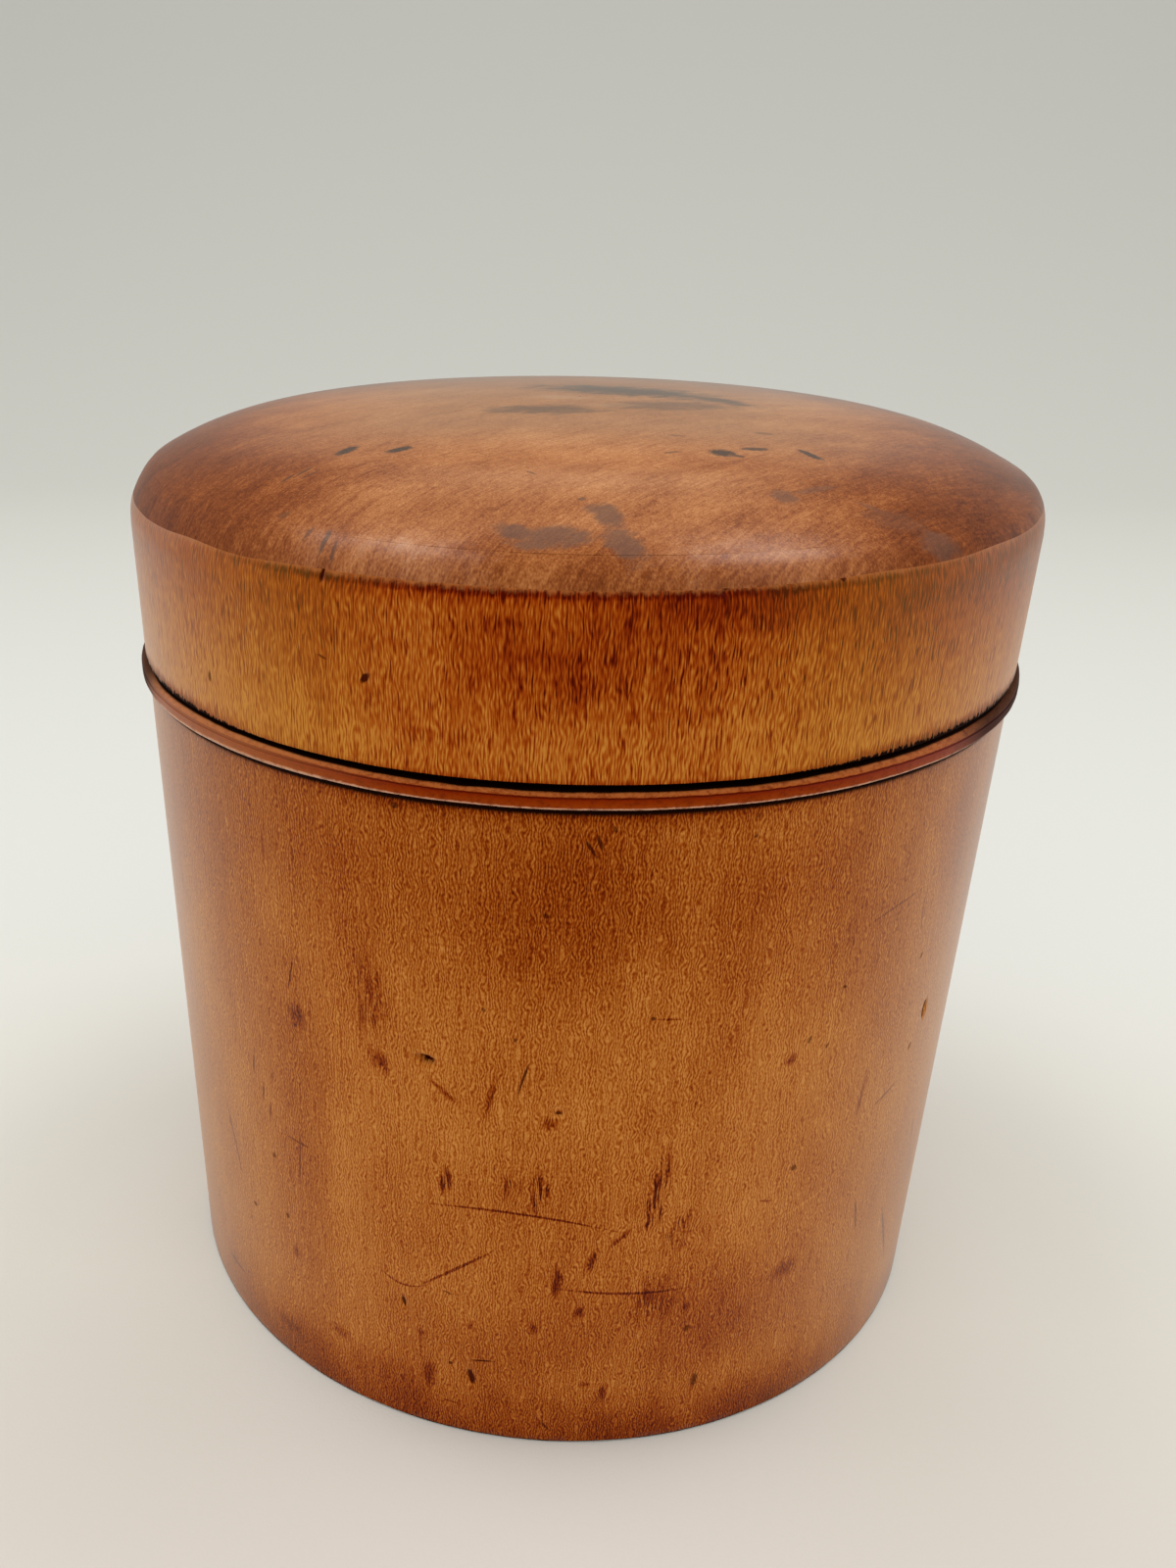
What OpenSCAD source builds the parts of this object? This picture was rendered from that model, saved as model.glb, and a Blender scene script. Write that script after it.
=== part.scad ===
// A turned wooden box with a lift-off lid: two bodies of revolution about the Z axis.
// The base stands on z = 0, the box is closed, and lengths are in millimetres.

/* [Body] */
// Outside diameter of the body
body_d = 99.8; // [80:0.2:130]
// Height of the seat that the lid's rim rests on, above the base
seat_z = 83.5; // [60:0.5:120]
// Thickness of the body's wall
body_wall = 6.4; // [5.4:0.1:9]
// Thickness of the floor
floor_t = 8; // [5:0.5:14]
// Radius of the hollow's corner at the floor
floor_fillet = 5; // [1:0.5:12]
// Radius of the worn edge round the foot
foot_round = 1; // [0.4:0.1:3]

/* [Bead] */
// Height of the turned bead below the joint
bead_h = 1.8; // [1:0.1:4]
// How far the bead stands proud of the body
bead_proud = 0.8; // [0.5:0.1:2]
// Radius of the bead's two edges
bead_round = 0.35; // [0.1:0.05:0.45]
// Height of the sunk line between the bead and the lid's rim
joint_line_h = 0.6; // [0.4:0.1:3]
// Depth of the sunk line behind the body's surface
joint_line_depth = 1; // [0.4:0.1:1.5]

/* [Spigot] */
// Height of the spigot that the lid slides over
spigot_h = 9.5; // [5:0.5:12]
// Thickness of the spigot's wall
spigot_wall = 2.3; // [1.5:0.1:3]
// Radius of the spigot's two top edges
spigot_round = 0.6; // [0.2:0.1:0.7]

/* [Lid] */
// How far the lid's side stands proud of the body's
lid_proud = 0.2; // [0:0.05:1]
// Radial clearance between the spigot and the lid's socket
lid_clearance = 0.15; // [0.1:0.05:0.3]
// Gap between the spigot's rim and the step in the lid
spigot_headroom = 0.8; // [0.4:0.1:3]
// Height of the lid's straight side
lid_side_h = 14.5; // [10:0.5:30]
// Radius of the edge between the side and the shoulder
arris_r = 5.6; // [2:0.2:9]
// Slope of the shoulder where it leaves that edge, in degrees
shoulder_slope = 29.5; // [22:0.5:40]
// Width of the shoulder, from the lid's side to the crown
shoulder_w = 14.2; // [10:0.2:24]
// Radius of the crown's shallow dome
crown_r = 300; // [200:10:600]
// Thickness of the crown at its centre
crown_t = 8; // [5:0.5:11]
// Radius of the lid's hollow where it meets the ceiling
ceiling_fillet = 2.5; // [1:0.5:6]

/* [Hidden] */

body_r = body_d / 2;
bore_r = body_r - body_wall;
spigot_r = bore_r + spigot_wall;
socket_r = spigot_r + lid_clearance;
bead_r = body_r + bead_proud;
lid_r = body_r + lid_proud;

bead_top_z = seat_z - joint_line_h;
bead_low_z = bead_top_z - bead_h;
spigot_top_z = seat_z + spigot_h;
step_z = spigot_top_z + spigot_headroom;

// The lid's outline above its side is three arcs, each tangent to the next:
// the edge, the shoulder and the crown, whose centre lies on the axis.
side_top_z = seat_z + lid_side_h;
crown_edge_r = lid_r - shoulder_w;
crown_slope = asin(crown_edge_r / crown_r);
arris_end_r = lid_r - arris_r * (1 - sin(shoulder_slope));
arris_end_z = side_top_z + arris_r * cos(shoulder_slope);
shoulder_r = (arris_end_r - crown_edge_r) / (sin(shoulder_slope) - sin(crown_slope));
shoulder_c = [arris_end_r - shoulder_r * sin(shoulder_slope),
              arris_end_z - shoulder_r * cos(shoulder_slope)];
crown_c_z = shoulder_c.y + shoulder_r * cos(crown_slope) - crown_r * cos(crown_slope);
lid_top_z = crown_c_z + crown_r;
ceiling_z = lid_top_z - crown_t;
ceiling_corner_r = min(ceiling_fillet, ceiling_z - step_z);

arc_steps = 14;
round_steps = 5;

// Points along an arc about a centre, from one angle to another in degrees
function arc(centre, radius, from, to, steps) =
    [for (i = [0 : steps])
        let (a = from + (to - from) * i / steps)
        centre + radius * [cos(a), sin(a)]];

// The cup: foot, straight wall, bead, sunk line, seat, spigot and the hollow inside
function body_outline() = concat(
    [[0, 0]],
    arc([body_r - foot_round, foot_round], foot_round, -90, 0, round_steps),
    [[body_r, bead_low_z]],
    arc([bead_r - bead_round, bead_low_z + bead_round], bead_round, -90, 0, round_steps),
    arc([bead_r - bead_round, bead_top_z - bead_round], bead_round, 0, 90, round_steps),
    [[body_r - joint_line_depth, bead_top_z],
     [body_r - joint_line_depth, seat_z],
     [spigot_r, seat_z]],
    arc([spigot_r - spigot_round, spigot_top_z - spigot_round], spigot_round, 0, 90, round_steps),
    arc([bore_r + spigot_round, spigot_top_z - spigot_round], spigot_round, 90, 180, round_steps),
    arc([bore_r - floor_fillet, floor_t + floor_fillet], floor_fillet, 0, -90, arc_steps),
    [[0, floor_t]]);

// The cap: rim, straight side, edge, shoulder and crown, then the hollow and the socket
function lid_outline() = concat(
    [[socket_r, seat_z], [lid_r, seat_z]],
    arc([lid_r - arris_r, side_top_z], arris_r, 0, 90 - shoulder_slope, arc_steps),
    arc(shoulder_c, shoulder_r, 90 - shoulder_slope, 90 - crown_slope, arc_steps),
    arc([0, crown_c_z], crown_r, 90 - crown_slope, 90, arc_steps),
    [[0, ceiling_z]],
    arc([bore_r - ceiling_corner_r, ceiling_z - ceiling_corner_r], ceiling_corner_r, 90, 0, arc_steps),
    [[bore_r, step_z], [socket_r, step_z]]);

module turned(outline) {
    rotate_extrude($fn = 144) polygon(outline);
}

module body() {
    color([0.63, 0.36, 0.15]) turned(body_outline());
}

module lid() {
    color([0.69, 0.42, 0.18]) turned(lid_outline());
}

body();
lid();
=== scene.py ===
import math

import bpy
import numpy as np
from mathutils import Matrix, Vector


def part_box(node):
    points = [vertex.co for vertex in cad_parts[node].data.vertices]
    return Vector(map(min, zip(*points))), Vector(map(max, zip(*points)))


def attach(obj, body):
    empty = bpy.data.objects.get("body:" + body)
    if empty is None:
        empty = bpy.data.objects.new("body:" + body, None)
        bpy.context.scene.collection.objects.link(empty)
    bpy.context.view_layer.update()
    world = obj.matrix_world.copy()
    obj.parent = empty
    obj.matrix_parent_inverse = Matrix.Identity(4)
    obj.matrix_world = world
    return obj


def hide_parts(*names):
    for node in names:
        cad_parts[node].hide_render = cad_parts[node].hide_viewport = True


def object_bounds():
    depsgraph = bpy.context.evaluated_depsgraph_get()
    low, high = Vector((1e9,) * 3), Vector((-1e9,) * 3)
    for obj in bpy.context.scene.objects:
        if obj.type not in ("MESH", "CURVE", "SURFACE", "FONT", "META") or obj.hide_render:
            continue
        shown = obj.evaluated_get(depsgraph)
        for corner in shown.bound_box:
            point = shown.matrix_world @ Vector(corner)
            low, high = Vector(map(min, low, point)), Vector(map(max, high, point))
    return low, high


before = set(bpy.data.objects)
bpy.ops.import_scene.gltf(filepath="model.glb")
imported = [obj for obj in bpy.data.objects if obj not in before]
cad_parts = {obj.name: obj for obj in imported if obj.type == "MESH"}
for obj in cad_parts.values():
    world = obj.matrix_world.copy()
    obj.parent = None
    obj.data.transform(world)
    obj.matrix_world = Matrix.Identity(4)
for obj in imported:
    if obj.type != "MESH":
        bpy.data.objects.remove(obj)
cad_low, cad_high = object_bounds()

# The body: a cup turned from one block of close-grained hardwood. A small bead and a sunk line are cut
# below the joint, and a thin spigot stands above it for the lid to slide over. The outside is waxed
# and worn, the inside is bare.

# Sizes in millimetres. The outermost ones come from the frame. The joint is drawn a little below the
# frame's, where the photograph shows it.
MM = 0.001
joint_drop = 0.3
bead_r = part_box("body")[1].x / MM
spigot_top_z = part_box("body")[1].z / MM
seat_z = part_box("lid")[0].z / MM - joint_drop
bead_proud = 0.8
bead_h = 1.65
bead_round = 0.35
bead_top_round = 0.4
bead_top_inset = 0.06
bead_groove_drop = 0.48
bead_groove_depth = 0.12
joint_line_h = 0.6
joint_line_depth = 1.0
body_wall = 6.4
spigot_wall = 2.3
spigot_round = 0.6
floor_t = 8.0
floor_fillet = 5.0
foot_round = 0.3
centre_ring_r = 2.0
body_r = bead_r - bead_proud
bore_r = body_r - body_wall
spigot_r = bore_r + spigot_wall
bead_top_z = seat_z - joint_line_h
bead_low_z = bead_top_z - bead_h
bead_groove_z = bead_top_z - bead_groove_drop

# Hollows in the body's side: angle from the front in degrees, height, length, width, tilt, depth.
BODY_HOLLOWS = {
    "worm hole": (-14.9, 52.1, 1.8, 0.95, -12, 1.1),
    "nick on the right": (55.4, 48.6, 0.9, 2.4, 0, 0.25),
    "knock near the foot": (-9.1, 9.1, 1.3, 2.6, 8, 0.18),
    "dent on the left": (-18.4, 18.3, 0.7, 1.4, 10, 0.15),
    "dent in the middle": (0.8, 47.5, 1.4, 1.6, 0, 0.12),
}


def arc(centre, radius, start, end, count):
    """Points on a circle: the centre plus radius times (cos a, sin a), with a from start to end, in
    degrees."""
    a = np.radians(np.linspace(start, end, count))
    return np.stack([centre[0] + radius * np.cos(a), centre[1] + radius * np.sin(a)], axis=1)


def straight(start, end, count):
    """Points in equal steps from start to end."""
    return np.linspace(start, end, count)


def crowded(low, high, count, places, spread, gain):
    """Values from low to high that crowd round some places: equal steps of the running sum of a density,
    which is 1 plus gain times a bell of the given spread at each place."""
    t = np.linspace(low, high, 30 * count)
    bells = np.exp(-((t[:, None] - np.array(places)) / spread) ** 2)
    share = np.cumsum(1 + gain * bells.max(axis=1))
    return np.interp(np.linspace(share[0], share[-1], count), share, t)


def uneven(angles, seed, fewest, most):
    """A ring of hand-made unevenness, about -1 to 1: sines of whole numbers of waves round the ring, from
    the fewest to the most, with random phases and heights that fall as the square root of that number."""
    draw = np.random.default_rng(seed)
    waves = np.arange(fewest, most + 1)
    phases = draw.uniform(0, 2 * np.pi, len(waves))
    heights = draw.normal(0, 1, len(waves)) / np.sqrt(waves)
    curve = (heights * np.sin(np.radians(angles)[:, None] * waves + phases)).sum(axis=1)
    return curve / np.abs(curve).max()


def hollow_depth(angles, heights, radius, hollows):
    """How deep a side is hollowed at each height and angle: for each hollow, its depth times
    exp(-d^4), where d is the distance from its centre in units of its half length and half width."""
    depth = np.zeros((len(heights), len(angles)))
    for angle, height, length, width, tilt, deep in hollows.values():
        along = np.radians(angles - angle)[None, :] * radius
        up = (heights - height)[:, None]
        turn = np.radians(tilt)
        u = (along * np.cos(turn) + up * np.sin(turn)) / (length / 2)
        v = (up * np.cos(turn) - along * np.sin(turn)) / (width / 2)
        depth = np.maximum(depth, deep * np.exp(-((u ** 2 + v ** 2) ** 2)))
    return depth


# Where two faces meet at more than this angle, in degrees, the edge between them stays crisp.
crisp_edge_angle = 38


def turned(name, radii, heights, angles, first_z, last_z):
    """A surface of revolution that may be uneven: radii and heights are arrays of rings by angles, and
    each ring goes round the Z axis as (r sin a, -r cos a, z), so angle 0 faces the front. A point on
    the axis at first_z and another at last_z close its two ends."""
    a = np.radians(angles)
    rings, steps = radii.shape
    points = np.stack([radii * np.sin(a), -radii * np.cos(a), heights], axis=2).reshape(-1, 3)
    points = np.concatenate([points, [[0, 0, first_z], [0, 0, last_z]]]) * MM
    here = np.arange(rings * steps).reshape(rings, steps)
    beside = np.roll(here, -1, axis=1)
    quads = np.stack([here[:-1], beside[:-1], beside[1:], here[1:]], axis=2).reshape(-1, 4)
    first_fan = np.stack([np.full(steps, rings * steps), beside[0], here[0]], axis=1)
    last_fan = np.stack([here[-1], beside[-1], np.full(steps, rings * steps + 1)], axis=1)
    corners = np.concatenate([first_fan.ravel(), quads.ravel(), last_fan.ravel()])
    counts = np.concatenate([np.full(steps, 3), np.full(len(quads), 4), np.full(steps, 3)])
    mesh = bpy.data.meshes.new(name)
    mesh.vertices.add(len(points))
    mesh.vertices.foreach_set("co", points.ravel())
    mesh.loops.add(len(corners))
    mesh.loops.foreach_set("vertex_index", corners)
    mesh.polygons.add(len(counts))
    mesh.polygons.foreach_set("loop_start", np.cumsum(counts) - counts)
    mesh.update(calc_edges=True)
    mesh.shade_smooth()
    mesh.set_sharp_from_angle(angle=math.radians(crisp_edge_angle))
    piece = bpy.data.objects.new(name, mesh)
    bpy.context.scene.collection.objects.link(piece)
    return piece


def paint_rings(piece, ring_materials, steps):
    """Gives each band of faces a material slot: one number per ring, and the last one again for the fan
    that closes the piece."""
    slots = np.concatenate([np.repeat(ring_materials, steps), np.full(steps, ring_materials[-1])])
    piece.data.polygons.foreach_set("material_index", slots)


# Points round each ring and rings up the wall, both crowded where the hollows are.
steps_round = 350
wall_rings = 130
hollow_places = np.array(list(BODY_HOLLOWS.values()))
body_angles = crowded(-180, 180, steps_round + 1, hollow_places[:, 0], spread=1.6, gain=5)[:-1]
wall_heights = crowded(foot_round, bead_low_z, wall_rings, hollow_places[:, 1], spread=1.4, gain=4)
bead_mid_r = bead_r - bead_round
bead_top_r = bead_r - bead_top_inset - bead_top_round
joint_line_r = body_r - joint_line_depth
body_parts = {
    "base": straight((centre_ring_r, 0), (body_r - foot_round - 0.5, 0), 12),
    "foot": arc((body_r - foot_round, foot_round), foot_round, -90, -8, 6),
    "wall": np.stack([np.full(len(wall_heights), body_r), wall_heights], axis=1),
    "bead low": arc((bead_mid_r, bead_low_z + bead_round), bead_round, -90, 0, 8),
    "bead face": straight((bead_r, bead_low_z + bead_round + 0.1), (bead_r, bead_groove_z - 0.08), 6),
    "bead groove": np.array([(bead_r - bead_groove_depth, bead_groove_z)]),
    "bead high": arc((bead_top_r, bead_top_z - bead_top_round), bead_top_round, 0, 90, 8),
    "joint line": straight((joint_line_r, bead_top_z), (joint_line_r, seat_z), 4),
    "seat": straight((joint_line_r - 0.1, seat_z), (spigot_r, seat_z), 4),
    "spigot": straight((spigot_r, seat_z + 0.1), (spigot_r, spigot_top_z - spigot_round - 0.1), 8),
    "spigot edge": arc((spigot_r - spigot_round, spigot_top_z - spigot_round), spigot_round, 0, 90, 6),
    "mouth edge": arc((bore_r + spigot_round, spigot_top_z - spigot_round), spigot_round, 90, 180, 6),
    "bore": straight((bore_r, spigot_top_z - spigot_round - 1), (bore_r, floor_t + floor_fillet + 1), 18),
    "floor edge": arc((bore_r - floor_fillet, floor_t + floor_fillet), floor_fillet, 0, -90, 10),
    "floor": straight((bore_r - floor_fillet - 1, floor_t), (centre_ring_r, floor_t), 12),
}
body_outline = np.concatenate(list(body_parts.values()))
body_part_of = np.repeat(list(body_parts), [len(part) for part in body_parts.values()])
body_radii = np.repeat(body_outline[:, :1], len(body_angles), axis=1)
body_heights = np.repeat(body_outline[:, 1:], len(body_angles), axis=1)

# Hand work and wear: the wall is not quite round, the foot and the bead are rubbed and chipped.
wall_out_of_round = 0.04
foot_wear = 0.12
bead_wear = 0.1
bead_top_wear = 0.12
on_wall = body_part_of == "wall"
on_foot = body_part_of == "foot"
on_bead = np.isin(body_part_of, ("bead low", "bead face", "bead groove", "bead high"))
on_bead_top = body_part_of == "bead high"
on_joint_line = body_part_of == "joint line"
wall_wobble = wall_out_of_round * uneven(body_angles, seed=3, fewest=2, most=9)
body_radii[on_wall] += wall_wobble - hollow_depth(body_angles, wall_heights, body_r, BODY_HOLLOWS)
body_radii[on_foot] += wall_wobble - foot_wear * np.abs(uneven(body_angles, seed=8, fewest=3, most=50))
body_radii[on_bead] -= bead_wear * np.abs(uneven(body_angles, seed=5, fewest=3, most=60))
up_bead_top = np.linspace(0, 1, on_bead_top.sum())[:, None]
bead_top_chips = bead_top_wear * np.abs(uneven(body_angles, seed=6, fewest=2, most=90))
body_heights[on_bead_top] -= bead_top_chips * up_bead_top

# The sunk line is worn wide at the front. It narrows between two angles on each side of it.
line_narrowing = 0.28
narrows_from = 18
narrow_at = 45
narrow_share = np.clip((np.abs(body_angles) - narrows_from) / (narrow_at - narrows_from), 0, 1)
down_joint_line = np.linspace(1, 0, on_joint_line.sum())[:, None]
body_heights[on_bead_top] += line_narrowing * narrow_share * up_bead_top
body_heights[on_joint_line] += line_narrowing * narrow_share * down_joint_line

turned_body = turned("turned_body", body_radii, body_heights, body_angles, 0, floor_t)
bare_parts = ("base", "seat", "spigot", "spigot edge", "mouth edge", "bore", "floor edge", "floor")
paint_rings(turned_body, np.isin(body_part_of, bare_parts).astype(int), len(body_angles))


class Shade:
    """One socket of a material's nodes. Arithmetic on values adds Math nodes, and node() adds any other."""

    def __init__(self, tree, socket=None):
        self.tree = tree
        self.socket = socket

    def node(self, kind, settings=None, inputs=None, output=0):
        """Adds a node: its settings first, then each input from a number, a tuple or another Shade."""
        made = self.tree.nodes.new(kind)
        for name, value in (settings or {}).items():
            if name == "stops":
                while len(made.color_ramp.elements) < len(value):
                    made.color_ramp.elements.new(1)
                for element, (position, colour) in zip(made.color_ramp.elements, value):
                    element.position = position
                    element.color = (*colour, 1)
            else:
                setattr(made, name, value)
        for name, value in (inputs or {}).items():
            if isinstance(value, Shade):
                self.tree.links.new(value.socket, made.inputs[name])
            else:
                made.inputs[name].default_value = value
        return Shade(self.tree, made.outputs[output])

    def beside(self, output):
        """Another output of the same node."""
        return Shade(self.tree, self.socket.node.outputs[output])

    def maths(self, operation, *values):
        """A Math node on some values."""
        return self.node("ShaderNodeMath", {"operation": operation}, dict(enumerate(values)))

    def most(self, other):
        """The larger of two values."""
        return self.maths("MAXIMUM", self, other)

    def __abs__(self):
        return self.maths("ABSOLUTE", self)

    def __add__(self, other):
        return self.maths("ADD", self, other)

    def __radd__(self, other):
        return self.maths("ADD", other, self)

    def __sub__(self, other):
        return self.maths("SUBTRACT", self, other)

    def __rsub__(self, other):
        return self.maths("SUBTRACT", other, self)

    def __mul__(self, other):
        return self.maths("MULTIPLY", self, other)

    def __rmul__(self, other):
        return self.maths("MULTIPLY", other, self)

    def __truediv__(self, other):
        return self.maths("DIVIDE", self, other)


def step(value, start, end, most=1.0):
    """0 up to start and most from end on, with a smooth step between. The end may be the lower one."""
    return value.node("ShaderNodeMapRange", {"interpolation_type": "SMOOTHSTEP"},
                      {"Value": value, "From Min": start, "From Max": end, "To Max": most})


def vector(operation, first, second, output=0):
    """Vector arithmetic on two places, or on a place and three numbers."""
    return first.node("ShaderNodeVectorMath", {"operation": operation}, {0: first, 1: second}, output)


def length(place):
    """How far a place is from the origin."""
    return place.node("ShaderNodeVectorMath", {"operation": "LENGTH"}, {0: place}, output="Value")


def flat_place(across, along):
    """A place on a flat plan from its two numbers."""
    return across.node("ShaderNodeCombineXYZ", None, {"X": across, "Y": along})


def local(place, centre, turn, size):
    """A place as seen from a pattern's centre: turned about Z by some degrees, in units of the pattern's
    size."""
    return place.node("ShaderNodeMapping", {"vector_type": "TEXTURE"},
                      {"Vector": place, "Location": centre, "Rotation": (0, 0, math.radians(turn)),
                       "Scale": size})


def noise(place, size, turn=0.0, detail=2.0, roughness=0.5, shift=(0, 0, 0), output=0, flat=False):
    """Fractal noise about 0.5 with features of the given size in millimetres, in the solid or on a flat
    place."""
    return place.node("ShaderNodeTexNoise", {"noise_dimensions": "2D" if flat else "3D"},
                      {"Vector": local(place, shift, turn, size), "Scale": 1.0, "Detail": detail,
                       "Roughness": roughness}, output)


def wavy(place, size, amount):
    """A place pushed about by a soft noise, up to about half the amount each way."""
    push = vector("SUBTRACT", noise(place, size, detail=1.0, output="Color"), (0.5, 0.5, 0.5))
    return vector("ADD", place, vector("MULTIPLY", push, amount))


def ripples(side, spacing, size, unrest):
    """Fine upright lines on a rolled-out side, from -1 to 1: a sine across the side with the given spacing.
    A noise with features of the given size pushes its phase by up to half of unrest waves each way."""
    across = side.node("ShaderNodeSeparateXYZ", None, {0: side})
    push = noise(side, size, detail=1.0, flat=True) - 0.5
    phase = (across / spacing + push * unrest) * math.tau
    return phase.maths("SINE", phase)


def mix(factor, first, second):
    """Blends two colours. A Mix node takes them at its inputs 6 and 7 and gives the blend at output 2."""
    return factor.node("ShaderNodeMix", {"data_type": "RGBA"}, {0: factor, 6: first, 7: second}, output=2)


def tint(value, stops):
    """A colour ramp over a value."""
    return value.node("ShaderNodeValToRGB", {"stops": stops}, {"Fac": value})


def dashes(place, spacing, half_size):
    """Rays and vessels of the wood that the surface cuts open: slim grains scattered through the solid, one
    to each cell of the given spacing. The value is 1 on a grain, with a random strength for each."""
    near = local(place, (0, 0, 0), 0, spacing)
    cell = near.node("ShaderNodeTexVoronoi", {"feature": "F1"}, {"Vector": near, "Scale": 1.0},
                     output="Position")
    stretch = tuple(gap / half for gap, half in zip(spacing, half_size))
    distance = length(vector("MULTIPLY", vector("SUBTRACT", near, cell), stretch))
    strength = cell.node("ShaderNodeSeparateColor", None, {"Color": cell.beside("Color")})
    return step(distance, 1.0, 0.4) * step(strength, 0.15, 0.9)


def marks(place, ragged, spots, core=0.5):
    """The strongest of many marks at each place: a mark is a stretched, turned disc, bowed if asked, whose
    rim wanders with the ragged noise and fades outwards from its core. Each mark is given as
    (centre, length, width, turn, strength, bow)."""
    # The fade starts this many times further out than the rim, so that the rim can wander outwards.
    reach = 1.6
    push = ragged / reach
    strongest = None
    for centre, long, wide, turn, strength, bow in spots:
        near = local(place, centre, turn, (reach * long / 2, reach * wide / 2, 1))
        if bow:
            along = near.node("ShaderNodeSeparateXYZ", None, {0: near})
            lift = near.node("ShaderNodeCombineXYZ", None, {"Y": along * along * (bow * reach)})
            near = vector("ADD", near, lift)
        fade = near.node("ShaderNodeTexGradient", {"gradient_type": "SPHERICAL"}, {0: near}, output=1)
        mask = step(fade - push, 1 - 1 / reach, 1 - core / reach, strength)
        strongest = mask if strongest is None else strongest.most(mask)
    return strongest


def start_material(name):
    """A new material, and the place on its piece in millimetres: whole, and as its three numbers."""
    material = bpy.data.materials.new(name)
    material.use_nodes = True
    start = Shade(material.node_tree)
    metres = start.node("ShaderNodeTexCoord", output="Object")
    place = local(metres, (0, 0, 0), 0, (MM, MM, MM))
    x = start.node("ShaderNodeSeparateXYZ", None, {0: place})
    return material, place, (x, x.beside("Y"), x.beside("Z"))


def finish_material(material, varying, height, depth, constants):
    """Joins what varies over the surface and a relief of the given depth in millimetres to the material's
    shader, and sets the numbers that are the same all over on the shader's own sockets."""
    shader = material.node_tree.nodes["Principled BSDF"]
    relief = height.node("ShaderNodeBump", None,
                         {"Height": height, "Strength": 1.0, "Distance": depth * MM}, output="Normal")
    for name, value in {**varying, "Normal": relief}.items():
        material.node_tree.links.new(value.socket, shader.inputs[name])
    for name, value in constants.items():
        shader.inputs[name].default_value = value


def shine(start):
    """The weight of the wax's shine: none where it is seen square on, rising to 1 where it is seen at a
    slant."""
    facing = start.node("ShaderNodeLayerWeight", None, {"Blend": 0.5}, output="Facing")
    return step(facing, 0.15, 0.75)


# The wood is matt and the old wax is a thin coat over it, which shines mostly where it is seen at a slant.
WAX = {"IOR": 1.5, "Specular IOR Level": 0.08, "Specular Tint": (0.5, 0.2, 0.06, 1.0),
       "Coat IOR": 1.32, "Coat Roughness": 0.3}
BARE = {"IOR": 1.45, "Specular IOR Level": 0.2}
# Near black: the colour of dirt, and of painted shade under the bead and along the foot.
DIRT_AND_PAINTED_SHADE = (0.006, 0.001, 0.0005, 1)
MARK = (0.04, 0.002, 0.0003, 1)


def side_place(numbers, radius):
    """The place on a side that is rolled out flat, as the arc from the front and the height, and the angle
    from the front in degrees."""
    x, y, z = numbers
    angle = x.maths("ARCTAN2", x, 0 - y)
    return flat_place(angle * radius, z), angle * math.degrees(1)


def on_side(spots, radius):
    """Marks on a side given as (angle, height, length, width, turn, strength, bow), for marks()."""
    return [((math.radians(angle) * radius, height, 0), *rest) for angle, height, *rest in spots.values()]


# Marks on the body's side: angle from the front in degrees, height, length, width, turn, strength, bow.
BODY_DARK_MARKS = {
    "worm hole": (-14.9, 52.1, 1.9, 1.05, -12, 1.0, 0),
    "left stroke under the bead": (3.2, 76.8, 2.8, 0.5, -59, 0.85, 0),
    "right stroke under the bead": (3.9, 77.7, 2.0, 0.55, -67, 0.85, 0),
    "speck beside the strokes": (5.5, 78.9, 0.9, 0.45, -70, 0.7, 0),
    "spot under the bead": (-18.1, 79.6, 1.0, 0.8, 0, 0.75, 0),
    "spot right of the strokes": (20.7, 77.4, 0.6, 0.5, 0, 0.7, 0),
    "spot above it": (20.7, 79.4, 0.6, 0.5, 60, 0.65, 0),
    "spot below the strokes": (-1.3, 70.0, 0.7, 0.85, 0, 0.8, 0),
    "upper speck": (-8.0, 59.1, 0.5, 0.65, 0, 0.7, 0),
    "middle speck": (-4.3, 56.0, 0.5, 0.65, 0, 0.7, 0),
    "right speck": (11.0, 58.7, 0.6, 0.6, 0, 0.8, 0),
    "thread in the middle": (-3.3, 51.4, 4.8, 0.34, 75, 0.85, 0),
    "dent in the middle": (0.9, 47.5, 0.9, 0.6, 0, 0.9, 0),
    "dent on the left": (-18.4, 18.3, 1.8, 0.65, -75, 0.9, 0),
    "hook beside the dent": (-12.3, 21.4, 1.3, 0.3, -26, 0.7, 0),
    "knock near the foot": (-9.1, 9.1, 2.7, 1.0, -78, 0.95, 0),
    "line over the knock": (-7.6, 12.0, 3.2, 0.36, 8, 0.9, 0),
    "speck left of the knock": (-11.9, 10.7, 0.6, 0.5, 0, 0.8, 0),
    "spot near the front foot": (20.8, 8.3, 2.6, 0.9, 82, 0.75, 0),
    "scribble at the foot": (0.9, 2.6, 1.6, 0.4, -55, 0.8, 0),
    "spot at the lower right": (18.9, 16.8, 0.9, 1.2, 0, 0.65, 0),
    "nick on the right": (55.4, 48.6, 3.0, 0.8, 86, 0.9, 0),
    "dash over the nick": (51.0, 57.2, 1.3, 0.4, 45, 0.7, 0),
    "spot on the right": (35.8, 58.2, 0.9, 0.5, -20, 0.8, 0),
    "first dash in a row": (31.4, 53.0, 1.2, 0.5, 70, 0.7, 0),
    "second dash in a row": (34.3, 51.5, 0.9, 0.6, 70, 0.65, 0),
    "spot by the slant scratch": (52.6, 44.9, 1.2, 0.7, 70, 0.6, 0),
    "spot over the pale scratch": (31.9, 36.4, 0.9, 0.9, 0, 0.7, 0),
    "left spot": (-45.0, 21.0, 0.9, 0.9, 0, 0.65, 0),
    "second left spot": (-37.4, 23.2, 0.9, 0.9, 0, 0.65, 0),
    "third left spot": (-39.3, 31.3, 0.9, 0.9, 0, 0.6, 0),
}
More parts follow.
